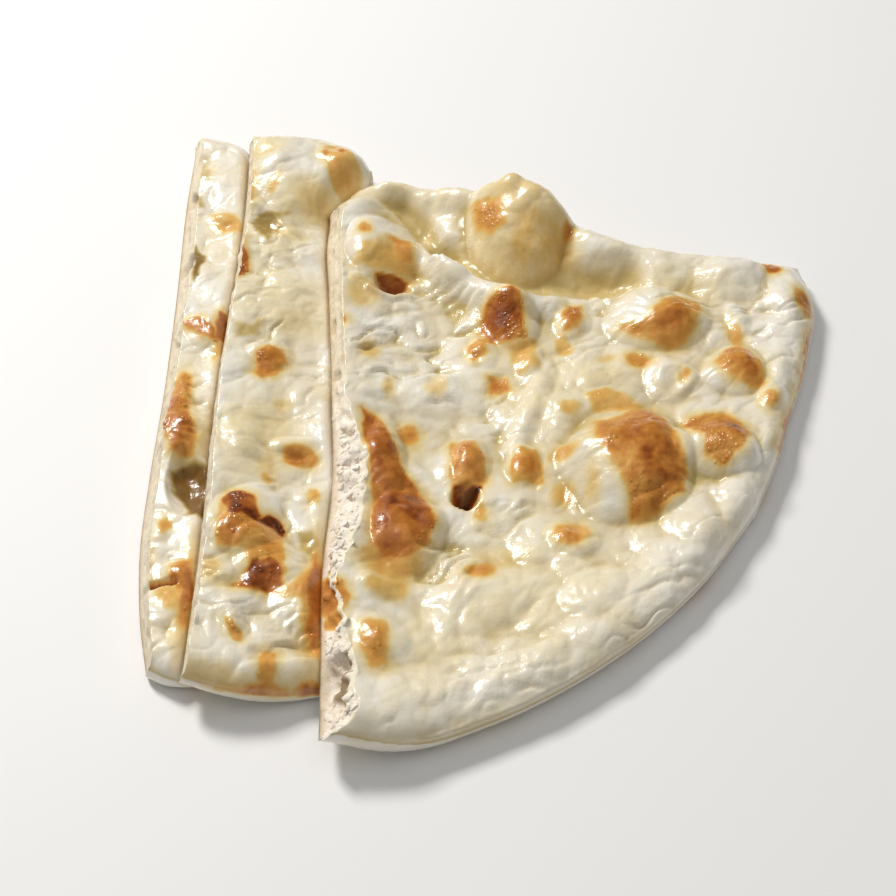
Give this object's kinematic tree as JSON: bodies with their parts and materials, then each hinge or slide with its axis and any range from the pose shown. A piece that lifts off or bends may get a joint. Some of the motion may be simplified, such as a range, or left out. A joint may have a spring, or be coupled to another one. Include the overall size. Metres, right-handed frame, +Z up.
{
  "type": "butter naan",
  "caption": "Leavened flatbread, a tapering oval with a puffed rim and browned bubbles, cut into strips and a wide piece that lie edge to edge with their margins overlapping.",
  "frame": {"origin": "middle of the bread's box at the height of the surface it lies on", "axes": "+Z up out of the browned side; +Y along the cuts towards the puffed far rim; +X across the slices towards the wide piece"},
  "size_m": [0.1996, 0.2371, 0.0256],
  "materials": {
    "baked_dough": "pale baked dough with toasted brown bubbles, glossy with melted butter"
  },
  "bodies": {
    "root": {"slice_left": "baked_dough", "slice_middle": "baked_dough", "slice_right": "baked_dough"}
  },
  "joints": []
}
